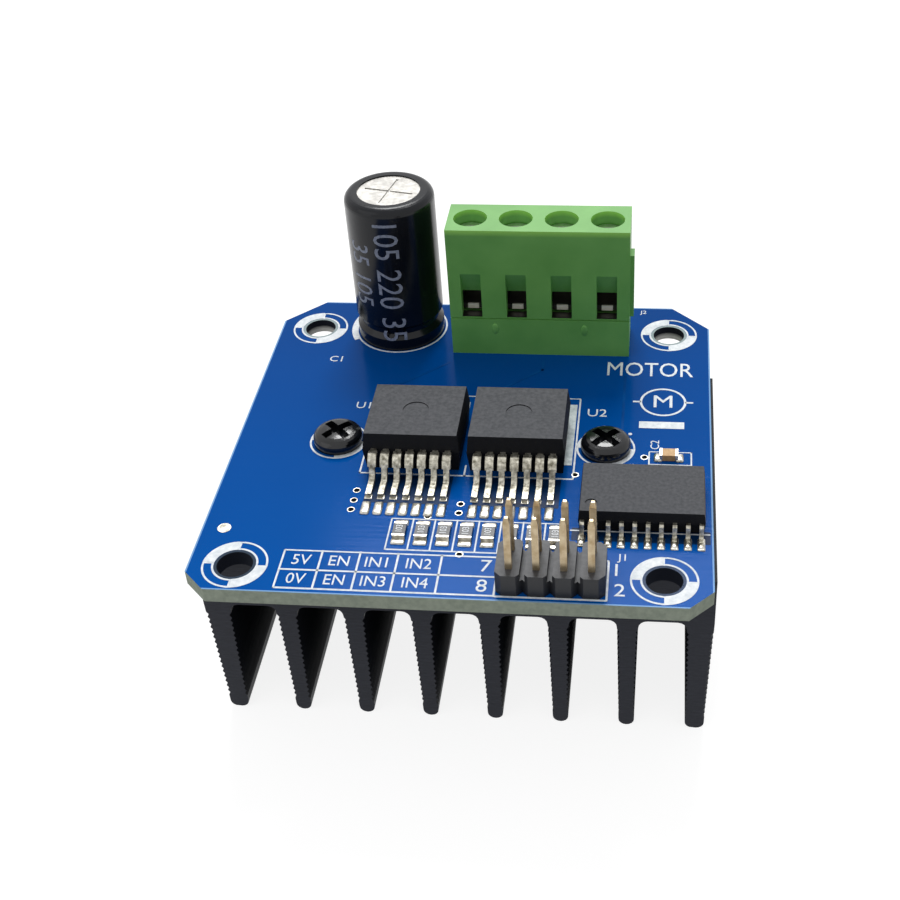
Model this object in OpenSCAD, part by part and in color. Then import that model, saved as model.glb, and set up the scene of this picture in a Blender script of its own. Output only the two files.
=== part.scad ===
// Two-channel motor driver board on a finned heatsink.
// Fin tips stand on z = 0, the board's centre is over the origin and +Y points to the terminal block.

/* [Circuit board] */
// Width of the board, left to right
board_w = 50; // [50:0.5:56]
// Length of the board, front to back
board_l = 50; // [50:0.5:56]
// Thickness of the glass-fibre laminate
board_t = 1.6; // [1:0.1:2.4]
// Chamfer at the two front corners
front_chamfer = 2.3; // [1:0.1:3]
// Chamfer at the two back corners
back_chamfer = 4.3; // [2:0.1:5]
// Diameter of the four corner holes
corner_hole_d = 3.5; // [2.6:0.1:4]
// Corner holes, distance in from the side edges
corner_inset_x = 4.6; // [4:0.1:6]
// Front corner holes, distance in from the front edge
corner_inset_front = 3.5; // [3.2:0.1:3.6]
// Back corner holes, distance in from the back edge
corner_inset_back = 5.7; // [5:0.1:7]

/* [Heatsink] */
// Width across the fins
sink_w = 50.8; // [46:0.2:56]
// Height from fin tips to mounting face
sink_h = 20.7; // [15:0.1:30]
// Thickness of the base plate
sink_base_t = 5.6; // [4.8:0.1:7]
// Front face of the heatsink, distance back from the board's front edge
sink_front_inset = 5.7; // [5.4:0.1:6.5]
// Back face of the heatsink, distance in from the board's back edge
sink_back_inset = 11.2; // [10:0.1:16]
// Number of fins
fin_count = 8; // [5:1:9]
// Fin thickness at the root
fin_root_t = 2.1; // [1.8:0.1:2.6]
// Fin thickness at the tip
fin_tip_t = 1.6; // [1.2:0.1:1.8]
// Extra thickness of the two outer fins at the root
outer_fin_extra = 0.55; // [0:0.05:0.8]
// Fillet between fin and base
fin_fillet = 0.9; // [0.4:0.1:1.2]
// Spacing of the small ribs along the fin sides
rib_pitch = 0.72; // [0.6:0.04:1.2]
// Depth of the grooves between those ribs
rib_depth = 0.22; // [0.08:0.01:0.24]
// Thickness of the thermal pad under the board
pad_t = 0.4; // [0.2:0.1:1]
// Thermal pad, distance in from the heatsink's edges
pad_margin = 1; // [0.5:0.1:3]

/* [Heatsink screws] */
// Thread diameter of the two screws
screw_d = 2.44; // [2:0.02:2.8]
// Radial clearance of the screws in their tapped holes
screw_clearance = 0.03; // [0.02:0.01:0.1]
// Radial clearance of the screws in board and pad
screw_board_clearance = 0.24; // [0.1:0.02:0.4]
// Length under the head
screw_l = 6; // [4:0.5:6.5]
// Diameter of the pan head
screw_head_d = 5.2; // [4:0.1:5.6]
// Height of the pan head
screw_head_h = 1.6; // [1.4:0.1:2.6]
// Distance of each screw from the middle line
screw_x = 14.1; // [13.8:0.1:15]
// Screws, distance back from the board's front edge
screw_inset = 23; // [18:0.5:24]

/* [Electrolytic capacitor] */
// Diameter over the plastic sleeve
cap_d = 10; // [8:0.2:10.4]
// Height of the capacitor over the board
cap_h = 18; // [10:0.1:22]
// Thickness of the sleeve
sleeve_t = 0.15; // [0.1:0.01:0.25]
// Diameter of the bare disc left in the sleeve's top
cap_disc_d = 7; // [5:0.1:7.4]
// Depth of the rolled groove near the foot
cap_groove = 0.5; // [0.2:0.05:0.7]
// Spacing of the two leads
cap_lead_pitch = 5; // [4:0.5:5.5]
// Diameter of a lead
cap_lead_d = 0.6; // [0.5:0.05:0.8]
// Capacitor centre, distance left of the middle line
cap_x = 10.75; // [10.6:0.05:11.5]
// Capacitor centre, distance in from the back edge
cap_inset = 5.1; // [5:0.05:5.4]

/* [Terminal block] */
// Number of ways
ways = 4; // [4:1:4]
// Spacing of the ways
way_pitch = 5; // [4.9:0.02:5.2]
// Depth of the block, front to back
block_d = 5.85; // [5.8:0.05:6.4]
// Height of the block over the board
block_h = 15.9; // [15:0.1:18]
// Height of the seam between base and housing
seam_h = 4.8; // [4:0.05:4.8]
// Front face, distance in from the board's back edge
block_inset = 10.15; // [9:0.05:10.6]
// Middle of the block, distance right of the middle line
block_x = 5.95; // [5.6:0.05:6.6]
// Diameter of a screw well
well_d = 3.7; // [3.5:0.05:3.9]
// Height of the well's floor over the board
well_floor_h = 12.4; // [11.8:0.05:12.6]
// Thickness of the ledge that carries the screw head
ledge_t = 0.6; // [0.4:0.05:0.65]
// Width of a wire window
window_w = 2.25; // [1.8:0.05:2.4]
// Height of the wire window's sill over the board
window_sill_h = 4.9; // [4.85:0.05:5.3]
// Height of the wire window's outer top edge over the board
window_top_h = 10.45; // [9:0.05:11]
// Thickness of the front wall
front_wall_t = 1.2; // [0.9:0.05:1.3]
// Thickness of the back wall
back_wall_t = 0.7; // [0.6:0.05:0.8]
// Width of the cavity behind each window
cavity_w = 3.9; // [3.8:0.05:4.1]

/* [Wire clamps] */
// Diameter of a clamp screw's head
clamp_head_d = 3.3; // [3:0.05:3.4]
// Height of a clamp screw's head
clamp_head_h = 2; // [1:0.1:2.2]
// Diameter of a clamp screw's thread
clamp_thread_d = 2; // [1.8:0.05:2.1]
// Running clearance round the thread
clamp_clearance = 0.08; // [0.05:0.01:0.1]
// Clearance between cage and cavity wall
cage_clearance = 0.15; // [0.1:0.01:0.2]
// Depth of the cage, front to back
cage_d = 2.9; // [2.6:0.05:2.95]
// Height of the cage
cage_h = 4.2; // [4.1:0.05:4.25]
// Height of the open cage's underside over the board
cage_rest_h = 5.3; // [5.2:0.05:5.35]
// Thickness of the cage's side walls
cage_wall_t = 0.5; // [0.4:0.05:0.6]
// Thickness of the cage's threaded top
cage_top_t = 0.8; // [0.7:0.05:0.9]
// Thickness of the cage's floor
cage_floor_t = 0.6; // [0.5:0.05:0.65]
// Thickness of the contact strip
contact_t = 0.6; // [0.5:0.05:0.65]
// Width of the contact strip
contact_w = 2.2; // [1.8:0.05:2.3]
// Height of the contact tongue's underside over the board
contact_h = 7.7; // [7.6:0.05:7.75]
// Width of the solder pin
contact_pin_w = 1; // [0.8:0.05:1.1]

/* [Power driver chips] */
// Width of the moulded body at its parting line
driver_w = 10; // [9.4:0.1:10.4]
// Length of the moulded body at its parting line
driver_l = 9; // [8.6:0.1:9.4]
// Height of the body
driver_h = 4.4; // [4:0.1:4.8]
// Draft of the upper half, on each side
driver_draft = 0.24; // [0.1:0.02:0.5]
// Distance between the two driver centres
driver_spacing = 10.7; // [10.5:0.1:11]
// Pair of drivers, shift left of the middle line
driver_shift = 0.15; // [0:0.05:0.4]
// Drivers, distance back from the board's front edge
driver_inset = 23; // [22.4:0.1:24]
// Thickness of the metal tab
tab_t = 1.27; // [1:0.01:1.5]
// Length of the tab behind the body
tab_l = 1.4; // [1:0.1:2]
// Leads on each driver
driver_leads_n = 7; // [5:1:7]
// Lead spacing
driver_lead_pitch = 1.27; // [1.2:0.01:1.34]
// Lead width
driver_lead_w = 0.58; // [0.5:0.02:0.8]
// Lead width over the upper bend
driver_knee_w = 0.86; // [0.82:0.02:1]
// Lead thickness
driver_lead_t = 0.5; // [0.4:0.02:0.6]
// Reach of the leads in front of the body
driver_reach = 4.55; // [4:0.05:4.8]

/* [Logic chip] */
// Body width
logic_w = 12.2; // [12.1:0.1:13]
// Body depth at its parting line
logic_d = 7.6; // [7:0.1:7.6]
// Height of the body's top over the board
logic_h = 2.5; // [2.2:0.05:2.7]
// Gap under the body
logic_gap = 0.2; // [0.1:0.01:0.3]
// Draft on each side
logic_draft = 0.15; // [0.1:0.01:0.4]
// Width over the lead tips
logic_span = 10.3; // [10.1:0.05:10.6]
// Leads on each side
logic_leads_n = 10; // [6:1:10]
// Lead spacing
logic_lead_pitch = 1.27; // [1.2:0.01:1.3]
// Lead width
logic_lead_w = 0.42; // [0.3:0.01:0.5]
// Lead thickness
logic_lead_t = 0.25; // [0.2:0.01:0.3]
// Centre, distance right of the middle line
logic_x = 18.1; // [18:0.05:18.2]
// Centre, distance back from the board's front edge
logic_inset = 13.8; // [13.6:0.1:14.4]

/* [Pin header] */
// Columns of pins
pin_columns = 4; // [3:1:4]
// Spacing of the pins
pin_pitch = 2.54; // [2.4:0.02:2.6]
// Thickness of a square pin
pin_t = 0.64; // [0.5:0.02:0.7]
// Height of the plastic
header_h = 2.5; // [2:0.1:3]
// Depth of the grooves between the pin columns
header_groove = 0.9; // [0.3:0.1:1.2]
// Height of the pin tips over the board
pin_h = 8.5; // [6:0.1:11]
// Length of the pins under the board
pin_tail = 1.4; // [0.9:0.1:2]
// Centre, distance right of the middle line
header_x = 9.95; // [9.5:0.05:10.4]
// Centre, distance back from the board's front edge
header_inset = 3.2; // [2.9:0.05:3.4]

/* [Chip resistors] */
// Number of resistors in the row
resistor_n = 8; // [8:1:8]
// Spacing of the resistors
resistor_pitch = 2.17; // [1.8:0.01:2.2]
// Length over the metal ends
resistor_l = 2; // [1.6:0.05:2.4]
// Width
resistor_w = 1.25; // [0.8:0.05:1.4]
// Height
resistor_h = 0.55; // [0.35:0.05:0.7]
// Length of a metal end
resistor_end = 0.25; // [0.2:0.05:0.5]
// Row middle, distance right of the middle line
resistor_x = 2.3; // [2:0.05:2.4]
// Row, distance back from the board's front edge
resistor_inset = 8.85; // [8.4:0.05:9]

/* [Ceramic capacitor] */
// Length over the metal ends
ceramic_l = 1.9; // [1.6:0.1:3.2]
// Width
ceramic_w = 1.2; // [0.8:0.1:1.6]
// Height
ceramic_h = 0.75; // [0.6:0.05:1.2]
// Length of a metal end
ceramic_end = 0.3; // [0.2:0.05:0.5]
// Centre, distance right of the middle line
ceramic_x = 20.6; // [20.2:0.05:21]
// Centre, distance back from the board's front edge
ceramic_inset = 21.75; // [21.4:0.05:22]

/* [Solder] */
// Height of a solder cone under the board
solder_h = 0.9; // [0.5:0.05:1]
// Foot radius of a solder cone at the board
solder_r = 0.95; // [0.8:0.05:1.1]
// Radial clearance of a lead in its hole
lead_clearance = 0.12; // [0.08:0.01:0.2]

/* [Hidden] */
$fn = 48;
cut = 0.5;

board_z = sink_h + pad_t;
top_z = board_z + board_t;
front_y = -board_l / 2;
back_y = board_l / 2;
sink_front_y = front_y + sink_front_inset;
sink_l = board_l - sink_front_inset - sink_back_inset;
corner_x = board_w / 2 - corner_inset_x;
corner_points = [
    [-corner_x, front_y + corner_inset_front], [corner_x, front_y + corner_inset_front],
    [-corner_x, back_y - corner_inset_back], [corner_x, back_y - corner_inset_back]
];
screw_points = [for (side = [-1, 1]) [side * screw_x, front_y + screw_inset]];
screw_board_r = screw_d / 2 + screw_board_clearance;
cap_point = [-cap_x, back_y - cap_inset];
cap_lead_points = [for (side = [-1, 1]) cap_point + [side * cap_lead_pitch / 2, 0]];
block_w = ways * way_pitch;
block_front_y = back_y - block_inset;
block_back_y = block_front_y + block_d;
cavity_front_y = block_front_y + front_wall_t;
cavity_back_y = block_back_y - back_wall_t;
clamp_y = cavity_front_y + cage_clearance + cage_d / 2;
contact_leg_y = clamp_y + cage_d / 2 + cage_clearance + contact_t / 2;
cavity_top_h = well_floor_h - ledge_t;
window_mid_h = (window_sill_h + window_top_h) / 2;
contact_tongue_t = contact_t - 0.1;
driver_y = front_y + driver_inset;
driver_waist_h = driver_h * 0.55;
logic_point = [logic_x, front_y + logic_inset];
logic_waist_h = (logic_h + logic_gap) / 2;
header_point = [header_x, front_y + header_inset];
header_points = [
    for (column = [0:pin_columns - 1], row = [-1, 1])
        header_point + [(column - (pin_columns - 1) / 2) * pin_pitch, row * pin_pitch / 2]
];

function way_x(way) = block_x + (way - (ways + 1) / 2) * way_pitch;
function contact_point(way) = [way_x(way), contact_leg_y];
function driver_x(side) = side * driver_spacing / 2 - driver_shift;
function resistor_point(index) =
    [resistor_x + (index - (resistor_n + 1) / 2) * resistor_pitch, front_y + resistor_inset];

// Points of an arc from one angle to another.
function arc(centre, radius, from, to, steps) =
    [for (i = [0:steps]) centre + radius * [cos(from + (to - from) * i / steps), sin(from + (to - from) * i / steps)]];

// Outline of a bent strip of even thickness along a path of points.
function unit(v) = v / norm(v);
function left_of(v) = [-v[1], v[0]];
function bend_normal(path, i) =
    let (
        a = unit(path[min(i + 1, len(path) - 1)] - path[min(i, len(path) - 2)]),
        b = unit(path[max(i, 1)] - path[max(i - 1, 0)]),
        n = unit(left_of(a) + left_of(b))
    ) n / (n * left_of(a));
function strip(path, thickness) = concat(
    [for (i = [0:len(path) - 1]) path[i] + bend_normal(path, i) * thickness / 2],
    [for (i = [len(path) - 1:-1:0]) path[i] - bend_normal(path, i) * thickness / 2]
);

// A block whose four sides slope in above and below a parting line.
module drafted_block(width, depth, low, waist, high, draft) {
    intersection() {
        rotate([90, 0, 0])
            linear_extrude(depth + cut, center = true)
                polygon([
                    [-width / 2 + draft, low], [width / 2 - draft, low], [width / 2, waist],
                    [width / 2 - draft, high], [-width / 2 + draft, high], [-width / 2, waist]
                ]);
        rotate([90, 0, 90])
            linear_extrude(width + cut, center = true)
                polygon([
                    [-depth / 2 + draft, low], [depth / 2 - draft, low], [depth / 2, waist],
                    [depth / 2 - draft, high], [-depth / 2 + draft, high], [-depth / 2, waist]
                ]);
    }
}

// A box centred in x and y that stands on z = 0.
module standing_box(size) {
    translate([-size[0] / 2, -size[1] / 2, 0]) cube(size);
}

// Bare laminate with all of its holes.
module circuit_board() {
    color("#0057A6")
        translate([0, 0, board_z])
            difference() {
                linear_extrude(board_t)
                    polygon([
                        [-board_w / 2 + front_chamfer, front_y], [board_w / 2 - front_chamfer, front_y],
                        [board_w / 2, front_y + front_chamfer], [board_w / 2, back_y - back_chamfer],
                        [board_w / 2 - back_chamfer, back_y], [-board_w / 2 + back_chamfer, back_y],
                        [-board_w / 2, back_y - back_chamfer], [-board_w / 2, front_y + front_chamfer]
                    ]);
                for (point = corner_points) board_hole(point, corner_hole_d / 2);
                for (point = screw_points) board_hole(point, screw_board_r);
                for (point = cap_lead_points) board_hole(point, cap_lead_d / 2 + lead_clearance);
                for (way = [1:ways])
                    board_hole(contact_point(way), norm([contact_pin_w, contact_t]) / 2 + lead_clearance);
                for (point = header_points) board_hole(point, pin_t * sqrt(2) / 2 + lead_clearance);
            }
}

module board_hole(point, radius) {
    translate([point[0], point[1], -cut]) cylinder(h = board_t + 2 * cut, r = radius);
}

// One side of a fin from root to tip: a fillet where it meets a gap, then a run of small ribs.
fin_pitch = (sink_w - 2 * outer_fin_extra - fin_root_t) / (fin_count - 1);
fin_l = sink_h - sink_base_t;
fin_tip_r = fin_tip_t / 2;
rib_top = fin_l - fin_fillet - 0.3;
rib_count = floor((rib_top - fin_tip_r - 0.4) / rib_pitch);
function fin_half(z) = fin_tip_r + (fin_root_t / 2 - fin_tip_r) * (z - fin_tip_r) / (fin_l - fin_tip_r);
function fin_side(filleted) = concat(
    filleted ? arc([fin_root_t / 2 + fin_fillet, fin_l - fin_fillet], fin_fillet, 90, 180, 4)
        : [[fin_root_t / 2, fin_l]],
    [
        for (k = [0:rib_count - 1], low = [0, 1])
            let (z = rib_top - (k + low / 2) * rib_pitch)
                [fin_half(z) - low * rib_depth, z]
    ],
    [[fin_half(rib_top - rib_count * rib_pitch), rib_top - rib_count * rib_pitch]]
);
function flipped(points) = [for (i = [len(points) - 1:-1:0]) [-points[i][0], points[i][1]]];
function outward(points, amount) =
    [for (point = points) point + [amount * (0.6 + 0.4 * point[1] / fin_l), 0]];
function fin_outline(index) =
    let (
        x = (index - (fin_count - 1) / 2) * fin_pitch,
        right = outward(fin_side(index < fin_count - 1), index == fin_count - 1 ? outer_fin_extra : 0),
        left = outward(flipped(fin_side(index > 0)), index == 0 ? -outer_fin_extra : 0),
        low_half = fin_half(left[0][1]),
        right_centre = [right[len(right) - 1][0] - low_half, fin_tip_r],
        left_centre = [left[0][0] + low_half, fin_tip_r]
    ) [
        for (point = concat(
            right,
            arc(right_centre, fin_tip_r, 0, -90, 4),
            arc(left_centre, fin_tip_r, -112.5, -180, 3),
            left
        )) point + [x, 0]
    ];

// One aluminium extrusion: base plate, tapered ribbed fins and two tapped blind holes.
module heatsink() {
    color("#3A3D45")
        difference() {
            translate([0, sink_front_y + sink_l, 0])
                rotate([90, 0, 0])
                    linear_extrude(sink_l)
                        polygon(concat(
                            [[-sink_w / 2, sink_h], [sink_w / 2, sink_h]],
                            [for (i = [fin_count - 1:-1:0]) each fin_outline(i)]
                        ));
            for (point = screw_points)
                translate([point[0], point[1], top_z - screw_l - 0.2])
                    cylinder(h = screw_l, r = screw_d / 2 + screw_clearance);
        }
}

// Soft grey pad that carries heat from board to heatsink.
module thermal_pad() {
    color("#9FA3A8")
        difference() {
            translate([-sink_w / 2 + pad_margin, sink_front_y + pad_margin, sink_h])
                cube([sink_w - 2 * pad_margin, sink_l - 2 * pad_margin, pad_t]);
            for (point = screw_points)
                translate([point[0], point[1], sink_h - cut])
                    cylinder(h = pad_t + 2 * cut, r = screw_board_r);
        }
}

// Two black pan-head screws with a cross recess.
module heatsink_screws() {
    color("#17191E")
        for (point = screw_points)
            translate([point[0], point[1], top_z]) {
                difference() {
                    pan_head(screw_head_d / 2, screw_head_h);
                    for (turn = [45, 135])
                        rotate([0, 0, turn])
                            translate([0, 0, screw_head_h - screw_head_h * 0.6])
                                standing_box([screw_head_d * 0.66, screw_head_d * 0.17, screw_head_h]);
                }
                translate([0, 0, -screw_l]) cylinder(h = screw_l, r = screw_d / 2);
            }
}

module pan_head(radius, height) {
    rim = height * 0.42;
    dome = height - rim;
    rotate_extrude()
        polygon(concat(
            [[0, 0], [radius * 0.97, 0], [radius, height * 0.06]],
            [for (i = [0:7]) let (a = 90 * i / 7) [radius * pow(cos(a), 0.55), rim + dome * sin(a)]]
        ));
}

// Outer line of the capacitor can, grown by the sleeve where asked.
can_r = cap_d / 2 - sleeve_t;
can_top = cap_h - sleeve_t;
can_edge_r = 0.75;
groove_h = 2.3;
groove_flank = 0.85;
bung_h = 1.3;
bung_r = can_r - 0.55;
function can_line(grow) = concat(
    [
        [can_r + grow, sleeve_t - grow],
        [can_r + grow, groove_h - groove_flank],
        [can_r - cap_groove + grow, groove_h - groove_flank * 0.35],
        [can_r - cap_groove + grow, groove_h + groove_flank * 0.35],
        [can_r + grow, groove_h + groove_flank]
    ],
    arc([can_r - can_edge_r, can_top - can_edge_r], can_edge_r + grow, 0, 90, 6)
);

// Drawn aluminium can with a scored vent in its top.
module capacitor_can() {
    color("#C9C8C3")
        translate([cap_point[0], cap_point[1], top_z])
            difference() {
                rotate_extrude()
                    polygon(concat(
                        [[0, bung_h], [bung_r, bung_h], [bung_r, sleeve_t]],
                        can_line(0),
                        [[0, can_top]]
                    ));
                for (turn = [-12, 78])
                    rotate([0, 0, turn])
                        translate([0, 0, can_top - 0.12])
                            standing_box([cap_disc_d * 0.8, 0.28, cut]);
            }
}

// Shrunk plastic sleeve, rolled over the can's edge and tucked under its foot.
module capacitor_sleeve() {
    color("#12151F")
        translate([cap_point[0], cap_point[1], top_z])
            rotate_extrude()
                polygon(concat(
                    [[bung_r, sleeve_t], [bung_r, 0]],
                    can_line(sleeve_t),
                    [[cap_disc_d / 2, can_top + sleeve_t], [cap_disc_d / 2, can_top]],
                    [for (i = [len(can_line(0)) - 1:-1:0]) can_line(0)[i]]
                ));
}

// Rubber bung that seals the can.
module capacitor_bung() {
    color("#2B2B2B")
        difference() {
            translate([cap_point[0], cap_point[1], top_z + sleeve_t])
                cylinder(h = bung_h - sleeve_t, r = bung_r - 0.02);
            for (point = cap_lead_points)
                translate([point[0], point[1], top_z - cut])
                    cylinder(h = bung_h + 2 * cut, r = cap_lead_d / 2 + 0.02);
        }
}

// Two round wire leads.
module capacitor_leads() {
    color("#CFCBBF")
        for (point = cap_lead_points)
            translate([point[0], point[1], board_z - pin_tail])
                cylinder(h = board_t + pin_tail + bung_h - 0.1, r = cap_lead_d / 2);
}

// Upper half of the terminal block: screw wells, ledges, cavities and funnel-shaped windows.
rib_side = 0.45;
module terminal_housing() {
    color("#5FA548")
        translate([0, 0, top_z])
            difference() {
                union() {
                    translate([block_x - block_w / 2, block_front_y, seam_h])
                        cube([block_w, block_d, block_h - seam_h]);
                    translate([block_x + block_w / 2 - cut, block_front_y + 0.9, seam_h])
                        cube([cut + rib_side, 1.6, block_h * 0.79 - seam_h]);
                }
                translate([block_x - block_w / 2 - cut, block_front_y + 0.8, seam_h - cut])
                    cube([cut + rib_side, 1.8, block_h * 0.8 - seam_h + cut]);
                for (way = [1:ways]) translate([way_x(way), 0, 0]) way_hollow();
            }
}

module way_hollow() {
    translate([0, clamp_y, well_floor_h]) cylinder(h = block_h - well_floor_h + cut, r = well_d / 2);
    translate([0, clamp_y, well_floor_h - ledge_t - cut])
        cylinder(h = ledge_t + 2 * cut, r = clamp_thread_d / 2 + 3 * clamp_clearance);
    translate([-cavity_w / 2, cavity_front_y, seam_h - cut])
        cube([cavity_w, cavity_back_y - cavity_front_y, cavity_top_h - seam_h + cut]);
    translate([-window_w / 2, 0, 0])
        rotate([90, 0, 90])
            linear_extrude(window_w)
                polygon([
                    [block_front_y - cut, window_sill_h],
                    [cavity_front_y + cut, window_sill_h],
                    [cavity_front_y + cut, window_mid_h],
                    [cavity_front_y, window_mid_h],
                    [block_front_y, window_top_h],
                    [block_front_y - cut, window_top_h]
                ]);
}

// Lower half of the terminal block, which holds the contacts upright.
base_step = 0.15;
module terminal_base() {
    color("#3F8038")
        difference() {
            translate([block_x, block_front_y + block_d / 2, top_z]) {
                standing_box([block_w, block_d, seam_h - base_step]);
                standing_box([block_w - 2 * base_step, block_d - 2 * base_step, seam_h]);
            }
            for (way = [1:ways])
                translate([way_x(way), contact_leg_y, top_z - cut])
                    standing_box([contact_w + 0.1, contact_t + 0.1, seam_h + 2 * cut]);
        }
}

// Bent contact strips: a tongue through each cage, a leg and a solder pin.
module terminal_contacts() {
    color("#D9D4C2")
        for (way = [1:ways])
            translate([way_x(way), 0, top_z]) {
                translate([-contact_w / 2, cavity_front_y + cage_clearance, contact_h])
                    cube([contact_w, contact_leg_y - cavity_front_y - cage_clearance, contact_tongue_t]);
                translate([0, contact_leg_y, 0.3])
                    standing_box([contact_w, contact_t, contact_h + contact_tongue_t - 0.3]);
                translate([0, contact_leg_y, -board_t - pin_tail])
                    standing_box([contact_pin_w, contact_t, board_t + pin_tail + seam_h]);
            }
}

// Slotted clamp screw that turns on its ledge.
module clamp_screw(way) {
    head_gap = 0.03;
    color("#D5D5D0")
        translate([way_x(way), clamp_y, top_z + well_floor_h + head_gap])
            difference() {
                union() {
                    cylinder(h = clamp_head_h, r = clamp_head_d / 2);
                    translate([0, 0, -(well_floor_h - contact_h - contact_tongue_t - 0.2)])
                        cylinder(h = well_floor_h - contact_h - contact_tongue_t, r = clamp_thread_d / 2);
                }
                translate([0, 0, clamp_head_h * 0.55])
                    standing_box([clamp_head_d + cut, 0.6, clamp_head_h]);
            }
}

// Square metal cage that the screw draws up to squeeze the wire under the tongue.
module wire_cage(way) {
    cage_w = cavity_w - 2 * cage_clearance;
    color("#C9C9C4")
        translate([way_x(way), clamp_y, top_z + cage_rest_h])
            difference() {
                union() {
                    standing_box([cage_w, cage_d, cage_h]);
                    translate([0, -cage_d / 2, 0])
                        standing_box([1.25, 2 * cage_clearance - 0.1, cage_floor_t]);
                }
                translate([0, 0, cage_floor_t])
                    standing_box([cage_w - 2 * cage_wall_t, cage_d + cut, cage_h - cage_floor_t - cage_top_t]);
                translate([0, 0, cage_floor_t])
                    cylinder(h = cage_h, r = clamp_thread_d / 2 + clamp_clearance);
            }
}

// Moulded body of a power driver, with a pocket for its tab and a sunk ejector mark.
module driver_body(side) {
    color("#55575C")
        difference() {
            translate([driver_x(side), driver_y, top_z])
                drafted_block(driver_w, driver_l, 0, driver_waist_h, driver_h, driver_draft);
            translate([driver_x(side), driver_y, top_z + driver_h - 0.1]) cylinder(h = cut, r = 1.35);
            driver_tab_shape(side);
            for (i = [0:driver_leads_n - 1])
                translate([driver_lead_x(side, i), driver_y - driver_l / 2, top_z + driver_waist_h])
                    translate([-driver_lead_w / 2, -cut, -driver_lead_t / 2])
                        cube([driver_lead_w, cut + 0.6, driver_lead_t]);
        }
}

function driver_lead_x(side, i) = driver_x(side) + (i - (driver_leads_n - 1) / 2) * driver_lead_pitch;

module driver_tab_shape(side) {
    translate([driver_x(side), driver_y, top_z])
        linear_extrude(tab_t)
            polygon([
                [-driver_w * 0.46, -2], [driver_w * 0.46, -2],
                [driver_w * 0.46, driver_l / 2 + tab_l * 0.5], [driver_w * 0.38, driver_l / 2 + tab_l],
                [-driver_w * 0.38, driver_l / 2 + tab_l], [-driver_w * 0.46, driver_l / 2 + tab_l * 0.5]
            ]);
}

// Tinned copper tab, soldered flat to the board.
module driver_tab(side) {
    color("#CFCBBF") driver_tab_shape(side);
}

// Seven flat leads in a soft S from body to board, each one wider over its upper bend.
module driver_leads(side) {
    foot = driver_lead_t / 2;
    path = [
        [0.6, driver_waist_h], [-0.75, driver_waist_h], [-1.15, driver_waist_h - 0.2],
        [-1.4, driver_waist_h - 0.6], [-1.75, foot + 0.55], [-2.1, foot + 0.13],
        [-2.5, foot], [-driver_reach, foot]
    ];
    knee = [[-0.3, driver_waist_h], path[1], path[2], path[3], path[3] + 0.25 * (path[4] - path[3])];
    color("#D8D4C6")
        for (i = [0:driver_leads_n - 1])
            translate([driver_lead_x(side, i), driver_y - driver_l / 2, top_z]) {
                bent_lead(path, driver_lead_w);
                bent_lead(knee, driver_knee_w);
            }
}

module bent_lead(path, width) {
    translate([-width / 2, 0, 0])
        rotate([90, 0, 90])
            linear_extrude(width) polygon(strip(path, driver_lead_t));
}

// Moulded body of the wide logic chip, with its pin-one dimple.
logic_mark_r = 0.6;
module logic_chip_body() {
    color("#4E5056")
        difference() {
            translate([logic_point[0], logic_point[1], top_z])
                drafted_block(logic_w, logic_d, logic_gap, logic_waist_h, logic_h, logic_draft);
            translate([
                logic_point[0] - logic_w / 2 + 2 * logic_mark_r,
                logic_point[1] - logic_d / 2 + 2.25 * logic_mark_r,
                top_z + logic_h - 0.1
            ])
                cylinder(h = cut, r = logic_mark_r);
            for (side = [-1, 1], i = [0:logic_leads_n - 1])
                translate([logic_lead_x(i), logic_point[1] + side * logic_d / 2, top_z + logic_waist_h])
                    translate([0, 0, -logic_lead_t / 2])
                        standing_box([logic_lead_w, 0.6, logic_lead_t]);
        }
}

function logic_lead_x(i) = logic_point[0] + (i - (logic_leads_n - 1) / 2) * logic_lead_pitch;

// Gull-wing leads along both long sides.
module logic_chip_leads() {
    reach = (logic_span - logic_d) / 2;
    foot = logic_lead_t / 2;
    color("#D8D4C6")
        for (side = [-1, 1], i = [0:logic_leads_n - 1])
            translate([logic_lead_x(i), logic_point[1], top_z])
                rotate([0, 0, side > 0 ? 0 : 180])
                    translate([-logic_lead_w / 2, logic_d / 2, 0])
                        rotate([90, 0, 90])
                            linear_extrude(logic_lead_w)
                                polygon(strip([
                                    [-0.3, logic_waist_h], [0.3, logic_waist_h], [0.48, logic_waist_h - 0.12],
                                    [0.62, foot + 0.25], [0.8, foot], [reach, foot]
                                ], logic_lead_t));
}

// Black plastic strip of the pin header, notched between its columns.
module header_housing() {
    half_w = pin_columns * pin_pitch / 2;
    notch_w = 0.55;
    notch_d = 0.6;
    corner = 0.6;
    edge = concat(
        [[-half_w, -pin_pitch + corner], [-half_w + corner, -pin_pitch]],
        [
            for (i = [1:pin_columns - 1], step = [-1, 0, 1])
                [-half_w + i * pin_pitch + step * notch_w, -pin_pitch + (step == 0 ? notch_d : 0)]
        ],
        [[half_w - corner, -pin_pitch], [half_w, -pin_pitch + corner]]
    );
    color("#26282E")
        difference() {
            translate([header_point[0], header_point[1], top_z])
                linear_extrude(header_h) polygon(concat(edge, -1 * edge));
            for (i = [1:pin_columns - 1])
                translate([header_point[0] - half_w + i * pin_pitch, header_point[1], top_z + header_h])
                    translate([0, 0, -header_groove])
                        standing_box([0.5, 2 * pin_pitch + cut, header_groove + cut]);
            for (point = header_points)
                translate([point[0], point[1], top_z - cut])
                    standing_box([pin_t + 0.02, pin_t + 0.02, header_h + 2 * cut]);
        }
}

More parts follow.
